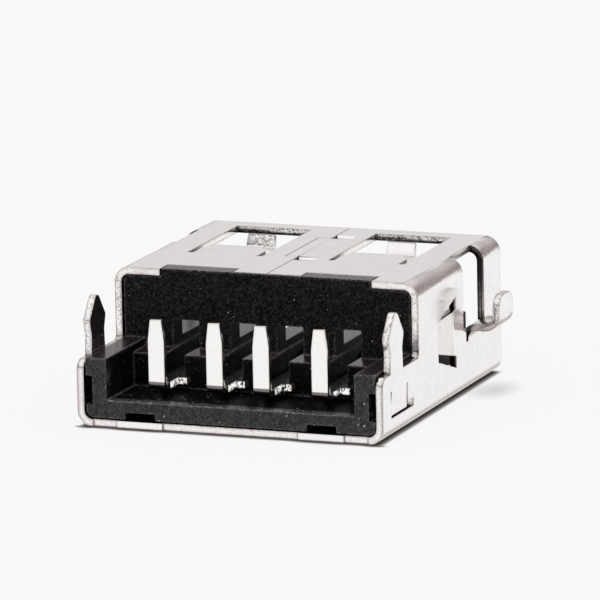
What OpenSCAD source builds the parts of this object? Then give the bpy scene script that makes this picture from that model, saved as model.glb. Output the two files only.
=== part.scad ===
// Board socket for a flat four-contact plug, of the kind that drops into a cut-out at the
// edge of a circuit board. A folded sheet-metal shell holds a moulded insulator with four
// stamped contacts. It lies on its flat face with the board side up, so the contact tails and
// the locking legs point up. The mouth faces +Y, the open bay with the tails faces -Y, and the
// origin is under the middle of the overall box. Sizes are in millimetres.

/* [Shell] */
// Length of the shell from its rear edge to its mouth
shell_length = 14; // [13:0.1:18]
// Outside width of the shell
shell_width = 13.1; // [12.8:0.05:14.5]
// Outside height of the shell
shell_height = 5.7; // [5.5:0.05:6.6]
// Thickness of the shell's sheet metal
sheet = 0.3; // [0.2:0.02:0.36]
// Outside radius of the shell's four long bends
bend_radius = 0.65; // [0.5:0.05:0.9]
// Length of the low open bay at the rear
bay_length = 4.2; // [3.9:0.1:4.8]
// Height of the shell's walls beside the bay
bay_wall_height = 2.68; // [2.3:0.02:2.78]
// Radius at the rear top corner of the walls beside the bay
bay_corner_radius = 0.45; // [0.1:0.05:0.6]
// Radius in the corner where the low walls meet the tall ones
step_radius = 0.22; // [0.05:0.01:0.4]
// How far the two cut-off stubs stand out on the shell's lower rear edge
stub_reach = 0.08; // [0.02:0.01:0.2]
// Width of each cut-off stub
stub_width = 1.95; // [1:0.05:2.2]

/* [Leaf springs] */
// Width of each spring window in the two broad faces
window_width = 3.25; // [2.9:0.05:3.4]
// Length of each spring window
window_length = 5.55; // [4.5:0.05:6]
// Distance from the mouth to the spring windows
window_setback = 0.85; // [0.7:0.05:1.6]
// Distance between the middles of the two windows of a face
window_spacing = 6.14; // [5.2:0.02:6.5]
// Slit on each side of a leaf spring's root
leaf_slit = 0.23; // [0.1:0.01:0.4]
// Length of a leaf spring's parallel root
leaf_root_length = 1; // [0.4:0.1:1.4]
// Flat length of a leaf spring before it dips
leaf_flat = 1.7; // [1.6:0.1:2.6]
// Width of a leaf spring where it starts to dip
leaf_knee_width = 2.05; // [1.5:0.05:2.4]
// Width of a leaf spring's tip
leaf_tip_width = 1.05; // [0.8:0.05:1.4]
// Gap between a leaf spring's tip and the end of its window
leaf_tip_gap = 1.25; // [0.5:0.05:1.4]
// How far a leaf spring's middle line dips into the plug space before its bend is rounded
leaf_dip = 0.6; // [0.3:0.05:0.65]
// Middle radius of a leaf spring's bends
leaf_bend = 0.34; // [0.24:0.02:0.4]
// Length of the turned-up lip at a leaf spring's tip
leaf_lip = 0.28; // [0.2:0.02:0.5]

/* [Seam] */
// Width of the seam where the folded sheet's edges meet
seam_gap = 0.02; // [0.02:0.01:0.12]
// How far the dovetail tongue of the seam reaches past the middle
dovetail_reach = 0.55; // [0.3:0.05:0.9]
// Length of the dovetail tongue at its root
dovetail_length = 3.7; // [2:0.1:4.4]
// Distance from the mouth to the dovetail tongue's middle
dovetail_setback = 4.15; // [3.6:0.05:4.6]
// How much wider the dovetail tongue is at its end, on each side
dovetail_flare = 0.12; // [0.05:0.01:0.4]
// Width of the stake dents at the dovetail tongue's root
stake_width = 0.86; // [0.4:0.02:1]
// Length of the stake dents
stake_length = 0.72; // [0.4:0.02:0.8]
// Depth of the stake dents
stake_depth = 0.12; // [0.05:0.01:0.18]

/* [Side springs] */
// Length of a side spring from its root to its tip
spring_length = 1.95; // [1.4:0.05:2.2]
// Height of a side spring at its root
spring_root = 1.98; // [1.4:0.02:2]
// Height of a side spring at its tip
spring_tip = 1.04; // [0.8:0.02:1.3]
// Gap above and below a side spring's root
spring_root_gap = 0.48; // [0.3:0.01:0.5]
// Gap round a side spring's tip
spring_tip_gap = 0.29; // [0.1:0.01:0.35]
// How far a side spring is pressed into the plug space
spring_press = 0.4; // [0.2:0.05:0.5]
// Height of the side springs' middle above the flat face
spring_height = 2.8; // [2.6:0.05:3]
// Wall left between a side spring's root and the ear's slot
spring_bridge = 0.9; // [0.5:0.05:1.2]

/* [Ears] */
// Width of each board ear
ear_width = 1.7; // [1.2:0.05:2]
// How far each ear reaches out from the shell's side
ear_reach = 1.35; // [1.1:0.05:2]
// Height of each ear's locking leg above the board seat
ear_rise = 1.25; // [0.9:0.05:2]
// Middle radius of the ear's two bends
ear_bend = 0.5; // [0.3:0.05:0.52]
// How far the ears' flats stand above the insulator's board seat
ear_lift = 0.06; // [0:0.01:0.15]
// Width of the relief slits beside each ear
relief_width = 0.24; // [0.1:0.02:0.4]
// Open length of the slot behind each ear
slot_gap = 0.55; // [0.3:0.05:0.8]
// Distance from the mouth to the ears' slots
slot_setback = 2.05; // [1.6:0.05:2.4]
// How far the ears' slots run on to the upper face
slot_overlap = 0.6; // [0.3:0.05:0.9]

/* [Locking legs] */
// Distance from the shell's rear edge to the rear locking legs
lock_setback = 0.92; // [0.6:0.02:1.2]
// Width of a locking leg at its root
lock_width = 1.44; // [1.2:0.02:1.8]
// How far a locking leg is drawn in at its waist, on each side
lock_waist = 0.05; // [0.01:0.01:0.2]
// How far a locking leg swells at its shoulder, on each side
lock_swell = 0.11; // [0.02:0.01:0.2]
// Share of a locking leg's height at which its shoulder is
lock_shoulder = 0.62; // [0.5:0.01:0.7]
// Height of the locking legs' tips above the flat face
lock_height = 5.05; // [4.6:0.05:5.4]
// Radius of a locking leg's rounded tip
lock_tip_radius = 0.3; // [0.15:0.05:0.4]

/* [Lances] */
// Length of each pressed-in lance of the side walls
lance_length = 1.85; // [1.2:0.05:2.2]
// Height of each side lance
lance_height = 1; // [0.6:0.05:1.2]
// Distance from the shell's rear edge to the side lances
lance_setback = 0.95; // [0.7:0.05:1.4]
// Height of a side lance's lower edge above the flat face
lance_base = 0.98; // [0.85:0.02:1.1]
// How far the side lances are pressed into the insulator's grooves
side_lance_press = 0.04; // [0.02:0.01:0.26]
// How far the lances of the flat face are pressed into the insulator's grooves
floor_lance_press = 0.2; // [0.1:0.02:0.26]
// Slit along the cut edge of a lance
lance_slit = 0.08; // [0.05:0.01:0.15]
// Length of the relief hole at the end of a side lance's slit
relief_length = 0.75; // [0.2:0.05:1]
// Height of the relief hole
relief_height = 0.3; // [0.1:0.02:0.4]
// Width of each lance in the flat face
floor_lance_width = 1.1; // [0.7:0.05:1.4]
// Distance between the middles of the two lances of the flat face
floor_lance_spacing = 7.76; // [6:0.02:8.4]

/* [Insulator] */
// Clearance between the insulator and the shell around it
fit_gap = 0.05; // [0.02:0.01:0.08]
// Distance from the shell's rear edge to the insulator's rear face
insulator_setback = 0.06; // [0:0.01:0.2]
// Height of the board seat above the flat face
seat_height = 2.8; // [2.8:0.02:3.1]
// Thickness of the insulator's floor in the bay
floor_thick = 0.75; // [0.6:0.05:0.85]
// Thickness of the insulator's walls beside the bay
side_thick = 0.9; // [0.7:0.05:1]
// Thickness of the insulator's rear wall
rear_thick = 1; // [0.8:0.05:1.5]
// How far the rear wall stands in from the edge of the tall shell
rear_inset = 0.08; // [0:0.02:0.2]
// Length of the pillars in front of the rear wall
pillar_length = 1.33; // [0.8:0.05:1.5]
// Depth of the keys on top of the rear wall
key_depth = 0.8; // [0.5:0.05:0.95]
// Distance from the middle to the inner end of each key
key_inner = 1.5; // [1.2:0.05:2]
// Distance from the middle to the outer end of each key
key_outer = 4.52; // [4:0.02:5]
// Thickness of the lip between the two keys
lip_thick = 0.16; // [0.1:0.02:0.3]
// Depth of the grooves that the lances press into
groove_depth = 0.28; // [0.27:0.01:0.32]
// Width of the tongue inside the mouth
tongue_width = 11.1; // [10.6:0.05:11.3]
// Thickness of the tongue
tongue_thick = 1.84; // [1.6:0.02:1.9]
// Gap between the tongue and the flat face's sheet
tongue_gap = 0.67; // [0.6:0.01:0.75]
// Distance from the mouth to the tongue's end
tongue_setback = 1.2; // [0.6:0.05:1.6]
// Chamfer around the tongue's end
tongue_chamfer = 0.3; // [0.1:0.05:0.5]
// Thickness of the tongue's closed end in front of the contacts
tongue_end = 0.6; // [0.4:0.05:0.9]
// Width of the openings above the contacts
opening_width = 1.1; // [0.96:0.02:1.3]
// Height of the openings above the tongue's contact side
opening_rise = 0.8; // [0.5:0.05:1.2]
// Depth of the ledges below the tongue's contact side
ledge_drop = 0.34; // [0.2:0.02:0.5]

/* [Contacts] */
// Distance between an outer contact and its neighbour
outer_pitch = 2.5; // [2.3:0.05:2.6]
// Distance between the two inner contacts
inner_pitch = 2; // [1.9:0.05:2.2]
// Thickness of the contacts' strip
strip_thick = 0.28; // [0.2:0.02:0.34]
// Width of the contacts' strip
strip_width = 0.7; // [0.5:0.02:0.8]
// Clearance on each side of a contact in its slot
slot_clearance = 0.07; // [0.02:0.01:0.1]
// Distance from the shell's rear edge to the contact tails
tail_setback = 1; // [0.8:0.05:1.3]
// Height of the contact tails' tips above the flat face
tail_height = 4.3; // [3.9:0.05:5]
// Width of a tail's tip
tail_tip_width = 0.48; // [0.3:0.02:0.49]
// Length of a tail's taper
tail_taper = 0.85; // [0.4:0.05:1]
// Middle radius of the contacts' bends
strip_bend = 0.18; // [0.18:0.02:0.4]
// Height of a contact's flat run above the bay's floor
run_lift = 0.28; // [0.1:0.01:0.35]
// Width of a contact's shoulders
shoulder_width = 1.46; // [1:0.02:1.6]
// Length of a contact's shoulders
shoulder_length = 0.5; // [0.3:0.05:0.8]
// How far a contact's bump stands above the tongue
bump_rise = 0.3; // [0.1:0.05:0.5]
// Distance from the tongue's end to the contacts' bumps
bump_setback = 2.5; // [2:0.05:3]
// Length of a contact's tip beyond its bump
tip_length = 1.3; // [0.8:0.05:1.4]
// How far a contact's tip drops below its bump
tip_drop = 0.85; // [0.5:0.05:1]

/* [Hidden] */
$fn = 48;

// Steps along each bend of a strip
bend_steps = 8;
// How far a cut runs past the face it starts from
past = 1;
// How far a tab runs into the piece it grows from
tab_root = 0.3;

// The shell's main planes
half_width = shell_width / 2;
rear_y = -shell_length / 2;
mouth_y = shell_length / 2;
step_y = rear_y + bay_length;
wall_mid = half_width - sheet / 2;
top_mid = shell_height - sheet / 2;

// The spring windows and their leaves
window_y1 = mouth_y - window_setback;
window_y0 = window_y1 - window_length;
leaf_y1 = window_y1 - leaf_tip_gap;

// The board ears and their slots
ear_y1 = mouth_y - slot_setback - relief_width;
ear_y0 = ear_y1 - ear_width;
slot_y1 = ear_y1 + relief_width;
slot_y0 = ear_y0 - slot_gap;
ear_mid_x = half_width + ear_reach - sheet / 2;
ear_mid_z = seat_height + ear_lift - sheet / 2;
ear_top = seat_height + ear_rise;
slot_floor = ear_mid_z;
relief_floor = ear_mid_z - ear_bend - relief_width / 4;

// The side springs and the lances
spring_y1 = slot_y0 - spring_bridge;
spring_y0 = spring_y1 - spring_length;
lance_y0 = rear_y + lance_setback;
lance_y1 = lance_y0 + lance_length;
lance_top = lance_base + lance_height;

// The insulator's main planes
inside_half = half_width - sheet - fit_gap;
inside_low = sheet + fit_gap;
inside_top = shell_height - sheet - fit_gap;
inside_radius = bend_radius - sheet - fit_gap;
insulator_y = rear_y + insulator_setback;
bay_half = inside_half - side_thick;
bay_floor = inside_low + floor_thick;
rear_wall_y0 = step_y + rear_inset;
rear_wall_y1 = rear_wall_y0 + rear_thick;
pillar_y = rear_wall_y0 - pillar_length;
key_y1 = rear_wall_y0 + key_depth;
lip_y1 = rear_wall_y0 + lip_thick;
tongue_y1 = mouth_y - tongue_setback;
tongue_low = sheet + tongue_gap;
tongue_top = tongue_low + tongue_thick;
ledge = tongue_top - ledge_drop;
opening_top = tongue_top + opening_rise;
groove_end = tongue_y1 - tongue_end;

// The contacts
contact_x = [
    -inner_pitch / 2 - outer_pitch,
    -inner_pitch / 2,
    inner_pitch / 2,
    inner_pitch / 2 + outer_pitch
];
run_low = bay_floor + run_lift;
run_mid = run_low + strip_thick / 2;
tail_y = rear_y + tail_setback + strip_thick / 2;
bump_y = tongue_y1 - bump_setback;
bump_mid = tongue_top + bump_rise - strip_thick / 2;

// Direction of the line from p to q, in degrees
function heading(p, q) = atan2(q.y - p.y, q.x - p.x);

// Turn from one direction to another, between -180 and 180 degrees
function turn(a, b) = let (d = b - a) d > 180 ? d - 360 : d < -180 ? d + 360 : d;

// Unit vector to the left of a direction
function left_of(a) = [-sin(a), cos(a)];

// Points round a bend at p, at a distance to the left of the strip's middle line
function bend_points(p, a, b, radius, side) =
    let (
        d = turn(a, b),
        s = sign(d),
        reach = radius * tan(abs(d) / 2),
        centre = p - reach * [cos(a), sin(a)] + s * radius * left_of(a)
    )
    [for (i = [0 : bend_steps]) centre + (side - s * radius) * left_of(a + d * i / bend_steps)];

// One edge of a strip that follows a path with round bends
function strip_edge(path, radius, side) =
    let (last = len(path) - 1)
    concat(
        [path[0] + side * left_of(heading(path[0], path[1]))],
        [
            for (i = [1 : last - 1])
                each bend_points(
                    path[i],
                    heading(path[i - 1], path[i]),
                    heading(path[i], path[i + 1]),
                    radius,
                    side
                )
        ],
        [path[last] + side * left_of(heading(path[last - 1], path[last]))]
    );

function reversed(list) = [for (i = [len(list) - 1 : -1 : 0]) list[i]];

// Edge-on outline of a bent strip
module strip(path, radius, thick) {
    polygon(concat(
        strip_edge(path, radius, thick / 2),
        reversed(strip_edge(path, radius, -thick / 2))
    ));
}

// Extrudes an outline drawn in X and Z along Y
module along_y(y0, y1) {
    translate([0, y1, 0])
        rotate([90, 0, 0])
            linear_extrude(y1 - y0)
                children();
}

// Extrudes an outline drawn in Y and Z along X
module along_x(x0, x1) {
    translate([x0, 0, 0])
        rotate([90, 0, 90])
            linear_extrude(x1 - x0)
                children();
}

// Extrudes an outline drawn in X and Y along Z
module along_z(z0, z1) {
    translate([0, 0, z0])
        linear_extrude(z1 - z0)
            children();
}

// Repeats a piece on the other side of the middle plane
module both_sides() {
    children();
    mirror([1, 0, 0])
        children();
}

// Repeats a piece on the opposite broad face
module both_faces() {
    children();
    translate([0, 0, shell_height])
        mirror([0, 0, 1])
            children();
}

// Rectangle with round corners, centred in X and standing on Z = low
module rounded_profile(width, low, high, radius) {
    translate([-width / 2 + radius, low])
        square([width - 2 * radius, high - low]);
    translate([-width / 2, low + radius])
        square([width, high - low - 2 * radius]);
    for (x = [-1, 1])
        for (z = [low + radius, high - radius])
            translate([x * (width / 2 - radius), z])
                circle(radius);
}

// Plain folded tube
module shell_tube() {
    along_y(rear_y, mouth_y)
        difference() {
            rounded_profile(shell_width, 0, shell_height, bend_radius);
            rounded_profile(
                shell_width - 2 * sheet, sheet, shell_height - sheet, bend_radius - sheet
            );
        }
}

// Opening over the rear bay, with a round inner corner and round wall ends
module bay_opening() {
    along_x(-half_width - past, half_width + past) {
        translate([rear_y - past, bay_wall_height + step_radius])
            square([bay_length + past, shell_height]);
        translate([rear_y - past, bay_wall_height])
            square([bay_length + past - step_radius, shell_height]);
        translate([step_y - step_radius, bay_wall_height + step_radius])
            circle(step_radius);
        difference() {
            translate([rear_y - past, bay_wall_height - bay_corner_radius])
                square([bay_corner_radius + past, bay_corner_radius + past]);
            translate([rear_y + bay_corner_radius, bay_wall_height - bay_corner_radius])
                circle(bay_corner_radius);
        }
    }
}

// Rear edge of the flat face, cut back between the stubs
module stub_cuts() {
    flat_half = half_width - bend_radius;
    stub_x = floor_lance_spacing / 2;
    along_z(-past, sheet)
        difference() {
            translate([-flat_half, rear_y - past])
                square([2 * flat_half, past + stub_reach]);
            for (x = [-stub_x, stub_x])
                translate([x - stub_width / 2, rear_y - past])
                    square([stub_width, 2 * past]);
        }
}

// Notches in the upper face's rear edge for the insulator's keys and lip
module key_notches() {
    along_z(shell_height - 2 * sheet, shell_height + past) {
        translate([-key_inner, step_y - past])
            square([2 * key_inner, lip_y1 + fit_gap - step_y + past]);
        for (x = [-key_outer - fit_gap, key_inner - fit_gap])
            translate([x, step_y - past])
                square([key_outer - key_inner + 2 * fit_gap, key_y1 + fit_gap - step_y + past]);
    }
}

// Spring windows through both broad faces
module spring_windows() {
    for (x = [-window_spacing / 2, window_spacing / 2])
        along_z(-past, shell_height + past)
            translate([x - window_width / 2, window_y0])
                square([window_width, window_length]);
}

// Tapered leaf spring with a dipped end and a turned-up lip
module leaf_spring() {
    lip_y = leaf_y1 - leaf_lip;
    root = window_width / 2 - leaf_slit;
    knee = leaf_knee_width / 2;
    tip = leaf_tip_width / 2;
    intersection() {
        along_x(-window_width, window_width)
            strip(
                [
                    [window_y0 - tab_root, top_mid],
                    [window_y0 + leaf_flat, top_mid],
                    [lip_y, top_mid - leaf_dip],
                    [leaf_y1, top_mid + sheet / 3]
                ],
                leaf_bend,
                sheet
            );
        along_z(0, shell_height)
            polygon([
                [-root, window_y0 - tab_root],
                [root, window_y0 - tab_root],
                [root, window_y0 + leaf_root_length],
                [knee, window_y0 + leaf_flat],
                [tip, leaf_y1 + sheet],
                [-tip, leaf_y1 + sheet],
                [-knee, window_y0 + leaf_flat],
                [-root, window_y0 + leaf_root_length]
            ]);
    }
}

// Butt seam along the upper face, locked by a dovetail tongue
module seam_cut() {
    middle = mouth_y - dovetail_setback;
    root = dovetail_length / 2;
    end = root + dovetail_flare;
    along_z(shell_height - 2 * sheet, shell_height + past)
        strip(
            [
                [0, step_y - past],
                [0, middle - root],
                [-dovetail_reach, middle - end],
                [-dovetail_reach, middle + end],
                [0, middle + root],
                [0, mouth_y + past]
            ],
            2 * seam_gap,
            seam_gap
        );
}

// Stake dents that spread the dovetail tongue's root, with sloped ends
module stake_dents() {
    middle = mouth_y - dovetail_setback;
    reach = dovetail_length / 2 + stake_length / 2;
    for (y = [middle - reach, middle + reach])
        along_x(0, stake_width)
            translate([y - stake_length / 2, shell_height])
                polygon([
                    [0, 0],
                    [stake_depth, -stake_depth],
                    [stake_length - stake_depth, -stake_depth],
                    [stake_length, 0],
                    [stake_length, past],
                    [0, past]
                ]);
}

// Slot above a board ear, with the relief slits beside its root
module ear_slot() {
    along_x(half_width - slot_overlap, half_width + past) {
        translate([slot_y0, slot_floor])
            square([slot_y1 - slot_y0, shell_height]);
        translate([ear_y0 - relief_width, relief_floor])
            square([slot_y1 - ear_y0 + relief_width, shell_height]);
    }
}

// Board ear: a tab folded out from the wall and up again into a locking leg
module ear() {
    tip_radius = ear_width / 3;
    intersection() {
        along_y(ear_y0, ear_y1)
            strip(
                [
                    [wall_mid, relief_floor - tab_root],
                    [wall_mid, ear_mid_z],
                    [ear_mid_x, ear_mid_z],
                    [ear_mid_x, ear_top]
                ],
                ear_bend,
                sheet
            );
        along_x(0, half_width + ear_reach + past) {
            translate([ear_y0, 0])
                square([ear_width, ear_top - tip_radius]);
            translate([ear_y0 + tip_radius, 0])
                square([ear_width - 2 * tip_radius, ear_top]);
            for (y = [ear_y0 + tip_radius, ear_y1 - tip_radius])
                translate([y, ear_top - tip_radius])
                    circle(tip_radius);
        }
    }
}

// Outline of a side spring, or of its window where the gaps are added
module side_spring_outline(root_gap, tip_gap) {
    tip = spring_tip / 2 + tip_gap;
    root = spring_root / 2 + root_gap;
    polygon([
        [spring_y0 - tip_gap / 2, spring_height - tip],
        [spring_y1, spring_height - root],
        [spring_y1, spring_height + root],
        [spring_y0 - tip_gap / 2, spring_height + tip]
    ]);
}

module side_spring_window() {
    along_x(half_width - 2 * sheet, half_width + past)
        side_spring_outline(spring_root_gap, spring_tip_gap);
}

// Side spring, pressed inwards towards its tip
module side_spring() {
    knee_y = spring_y0 + spring_length / 4;
    intersection() {
        along_z(spring_height - spring_root, spring_height + spring_root)
            strip(
                [
                    [wall_mid, spring_y1 + tab_root],
                    [wall_mid, spring_y1 - tab_root],
                    [wall_mid - spring_press, knee_y],
                    [wall_mid - spring_press + sheet / 3, spring_y0]
                ],
                spring_press,
                sheet
            );
        along_x(0, half_width + past) {
            side_spring_outline(0, 0);
            translate([spring_y1, spring_height - spring_root / 2])
                square([tab_root, spring_root]);
        }
    }
}

// Value that eases from one size to another as t goes from 0 to 1
function eased(from, to, t) = from + (to - from) * (1 - cos(180 * t)) / 2;

// Fish-shaped locking leg that stands in the plane of the side wall
module locking_leg() {
    middle = rear_y + lock_setback + lock_width / 2;
    root = lock_width / 2;
    waist = root - lock_waist;
    shoulder = root + lock_swell;
    rise = lock_height - bay_wall_height;
    waist_z = bay_wall_height + rise / 3;
    shoulder_z = bay_wall_height + rise * lock_shoulder;
    tip_z = lock_height - lock_tip_radius;
    spread = norm([shoulder, shoulder_z - tip_z]);
    meet = atan2(shoulder_z - tip_z, shoulder) + acos(lock_tip_radius / spread);
    tip_meet = [lock_tip_radius * cos(meet), tip_z + lock_tip_radius * sin(meet)];
    steps = [for (i = [0 : bend_steps]) i / bend_steps];
    edge = concat(
        [[root, bay_wall_height - tab_root]],
        [for (t = steps) [eased(root, waist, t), eased(bay_wall_height, waist_z, t)]],
        [for (t = steps) if (t > 0) [eased(waist, shoulder, t), waist_z + (shoulder_z - waist_z) * t]],
        [tip_meet]
    );
    along_x(half_width - sheet, half_width)
        translate([middle, 0]) {
            polygon(concat(edge, [for (p = reversed(edge)) [-p.x, p.y]]));
            translate([0, tip_z])
                circle(lock_tip_radius);
        }
}

// Opening under a side lance, with a relief hole at its far end
module side_lance_window() {
    along_x(half_width - 2 * sheet, half_width + past) {
        translate([lance_y0, lance_base - lance_slit])
            square([lance_length, lance_height + lance_slit]);
        translate([lance_y1 - lance_slit, lance_base - lance_slit])
            square([relief_length, relief_height]);
    }
}

// Lance pressed inwards at its lower edge
module side_lance() {
    along_y(lance_y0, lance_y1)
        strip(
            [
                [wall_mid, lance_top + tab_root],
                [wall_mid, lance_top],
                [wall_mid - side_lance_press, lance_base]
            ],
            sheet,
            sheet
        );
}

// Opening beyond a lance of the flat face
module floor_lance_window() {
    along_z(-past, 2 * sheet)
        translate([floor_lance_spacing / 2 - floor_lance_width / 2, lance_y0])
            square([floor_lance_width, lance_length + lance_slit]);
}

// Lance of the flat face, pressed up at its mouth end
module floor_lance() {
    middle = floor_lance_spacing / 2;
    along_x(middle - floor_lance_width / 2, middle + floor_lance_width / 2)
        strip(
            [
                [lance_y0 - tab_root, sheet / 2],
                [lance_y0, sheet / 2],
                [lance_y1, sheet / 2 + floor_lance_press]
            ],
            sheet,
            sheet
        );
}

module shield_shell() {
    color("#dcdad6") {
        difference() {
            shell_tube();
            bay_opening();
            stub_cuts();
            key_notches();
            spring_windows();
            seam_cut();
            stake_dents();
            both_sides() {
                ear_slot();
                side_spring_window();
                side_lance_window();
                floor_lance_window();
            }
        }
        both_faces()
            for (x = [-window_spacing / 2, window_spacing / 2])
                translate([x, 0, 0])
                    leaf_spring();
        both_sides() {
            ear();
            side_spring();
            locking_leg();
            side_lance();
            floor_lance();
        }
    }
}

// Space inside the shell, less the clearance
module inside_profile() {
    rounded_profile(2 * inside_half, inside_low, inside_top, inside_radius);
}

// Floor, side walls and pillars of the rear bay, up to the board seat
module bay_block() {
    difference() {
        along_y(insulator_y, rear_wall_y1)
            intersection() {
                inside_profile();
                translate([-inside_half, 0])
                    square([2 * inside_half, seat_height]);
            }
        along_x(-bay_half, bay_half) {
            translate([insulator_y - past, bay_floor])
                square([pillar_y - insulator_y + past, seat_height]);
            translate([pillar_y - past, ledge])
                square([rear_wall_y0 - pillar_y + past, seat_height]);
        }
    }
}

// Rear wall with its two keys and the lip between them
module rear_wall() {
    along_y(rear_wall_y0, rear_wall_y1)
        inside_profile();
    along_z(inside_top - sheet, shell_height) {
        translate([-key_outer, rear_wall_y0])
            square([2 * key_outer, lip_thick]);
        for (x = [-key_outer, key_inner])
            translate([x, rear_wall_y0])
                square([key_outer - key_inner, key_depth]);
    }
}

// Tongue with a chamfered end
module tongue() {
    half = tongue_width / 2;
    c = tongue_chamfer;
    intersection() {
        along_x(-half, half)
            polygon([
                [rear_wall_y1 - tab_root, tongue_low],
                [tongue_y1 - c, tongue_low],
                [tongue_y1, tongue_low + c],
                [tongue_y1, tongue_top - c],
                [tongue_y1 - c, tongue_top],
                [rear_wall_y1 - tab_root, tongue_top]
            ]);
        along_z(0, shell_height)
            polygon([
                [-half, rear_wall_y1 - tab_root],
                [half, rear_wall_y1 - tab_root],
                [half, tongue_y1 - c],
                [half - c, tongue_y1],
                [c - half, tongue_y1],
                [-half, tongue_y1 - c]
            ]);
    }
}

// Slot for one contact, and the wider opening above it
module contact_slot() {
    slot_half = strip_width / 2 + slot_clearance;
    along_x(-slot_half, slot_half)
        translate([pillar_y - past, run_low])
            square([groove_end - pillar_y + past, opening_top - run_low]);
    along_x(-opening_width / 2, opening_width / 2)
        translate([pillar_y, ledge])
            square([groove_end - pillar_y, opening_top - ledge]);
}

// Grooves along the insulator that let the shell's lances pass and press in
module lance_grooves() {
    groove_y1 = lance_y1 + relief_length;
    groove_x = floor_lance_spacing / 2 - floor_lance_width / 2 - lance_slit;
    along_x(inside_half - groove_depth, half_width)
        translate([insulator_y - past, lance_base - lance_slit])
            square([groove_y1 - insulator_y + past, lance_height + 2 * lance_slit]);
    along_z(0, inside_low + groove_depth)
        translate([groove_x, insulator_y - past])
            square([floor_lance_width + 2 * lance_slit, groove_y1 - insulator_y + past]);
}

module insulator_housing() {
    color("#232124")
        difference() {
            union() {
                bay_block();
                rear_wall();
                tongue();
            }
            for (x = contact_x)
                translate([x, 0, 0])
                    contact_slot();
            both_sides()
                lance_grooves();
        }
}

// Outline of a contact seen along Y, with the tapered tip of its tail
module contact_outline() {
    half = strip_width / 2;
    tip_half = tail_tip_width / 2;
    polygon([
        [-half, 0],
        [half, 0],
        [half, tail_height - tail_taper],
        [tip_half, tail_height],
        [-tip_half, tail_height],
        [-half, tail_height - tail_taper]
    ]);
}

// Stamped contact: tail, flat run with shoulders, and a springy beam with a bump
module contact(x) {
    color("#e4e1d8")
        translate([x, 0, 0]) {
            intersection() {
                along_x(-strip_width, strip_width)
                    strip(
                        [
                            [tail_y, tail_height],
                            [tail_y, run_mid],
                            [rear_wall_y1, run_mid],
                            [bump_y, bump_mid],
                            [bump_y + tip_length, bump_mid - tip_drop]
                        ],
                        strip_bend,
                        strip_thick
                    );
                along_y(rear_y, mouth_y)
                    contact_outline();
            }
            along_z(run_low, run_low + strip_thick)
                translate([-shoulder_width / 2, pillar_y - shoulder_length])
                    square([shoulder_width, shoulder_length]);
        }
}

module vbus_contact() {
    contact(contact_x[0]);
}

module data_minus_contact() {
    contact(contact_x[1]);
}

module data_plus_contact() {
    contact(contact_x[2]);
}

module ground_contact() {
    contact(contact_x[3]);
}

shield_shell();
insulator_housing();
vbus_contact();
data_minus_contact();
data_plus_contact();
ground_contact();
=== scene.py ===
# %% [markdown]
# # A board socket for a flat plug
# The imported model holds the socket's six solids at their real size: a folded metal shell, a
# black moulded insulator and four stamped contacts. This script keeps those solids where they
# are, rounds their edges a little and gives each one the finish that the real part has, under
# plain studio light.

# %% Load the solids
import math

import bpy
from mathutils import Matrix, Vector
from mathutils.bvhtree import BVHTree

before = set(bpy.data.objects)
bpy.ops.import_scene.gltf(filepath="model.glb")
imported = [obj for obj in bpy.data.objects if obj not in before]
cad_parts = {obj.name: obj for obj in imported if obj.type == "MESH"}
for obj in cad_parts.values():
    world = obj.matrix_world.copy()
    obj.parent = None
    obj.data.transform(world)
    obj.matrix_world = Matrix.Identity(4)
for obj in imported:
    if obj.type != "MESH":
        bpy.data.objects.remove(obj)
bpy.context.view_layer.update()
MM = 0.001

# %% [markdown]
# ## Camera
# The photograph was taken from a little above and from the right of the rear, with a long lens,
# so that parallel edges stay nearly parallel. The angles, the distance and the lens below come
# from fitting the shell's known width, height and length to the picture.

# %% Place the camera
CAMERA_YAW = math.radians(21.247)
CAMERA_RISE = math.radians(12.023)
CAMERA_ROLL = math.radians(-1.205)
CAMERA_DISTANCE = 313.9 * MM
CAMERA_LENS = 464.7
SENSOR_WIDTH = 36.0
NEAR_CLIP = 10 * MM
FAR_CLIP = 5.0
FIT_CENTRE = Vector((0.0, -0.5, 2.85)) * MM
AIM_RIGHT = 0.532 * MM
AIM_UP = 1.309 * MM

back = Vector((
    math.sin(CAMERA_YAW) * math.cos(CAMERA_RISE),
    -math.cos(CAMERA_YAW) * math.cos(CAMERA_RISE),
    math.sin(CAMERA_RISE),
))
level_right = Vector((math.cos(CAMERA_YAW), math.sin(CAMERA_YAW), 0.0))
level_up = back.cross(level_right)
right = level_right * math.cos(CAMERA_ROLL) + level_up * math.sin(CAMERA_ROLL)
up = level_up * math.cos(CAMERA_ROLL) - level_right * math.sin(CAMERA_ROLL)

camera_data = bpy.data.cameras.new("photo_camera")
camera_data.sensor_width = SENSOR_WIDTH
camera_data.lens = CAMERA_LENS
camera_data.clip_start = NEAR_CLIP
camera_data.clip_end = FAR_CLIP
camera = bpy.data.objects.new("photo_camera", camera_data)
aim = FIT_CENTRE + right * AIM_RIGHT + up * AIM_UP
camera.matrix_world = Matrix.Translation(aim + back * CAMERA_DISTANCE) @ Matrix((
    (right.x, up.x, back.x, 0),
    (right.y, up.y, back.y, 0),
    (right.z, up.z, back.z, 0),
    (0, 0, 0, 1),
))
bpy.context.scene.collection.objects.link(camera)
bpy.context.scene.camera = camera
print("camera at mm:", [round(value / MM, 1) for value in camera.matrix_world.translation])

# %% [markdown]
# ## Edges
# No edge of a stamped or moulded piece is perfectly sharp. A thin bright line runs along each
# one, because a tiny radius always catches some light. A painted line could fake it, but then
# it would not move with the light. Here the modifiers make the radius itself: the solids'
# triangles are welded and merged into flat faces, and every edge sharper than a set angle is
# bevelled. The solids' own points stay as they are.

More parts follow.
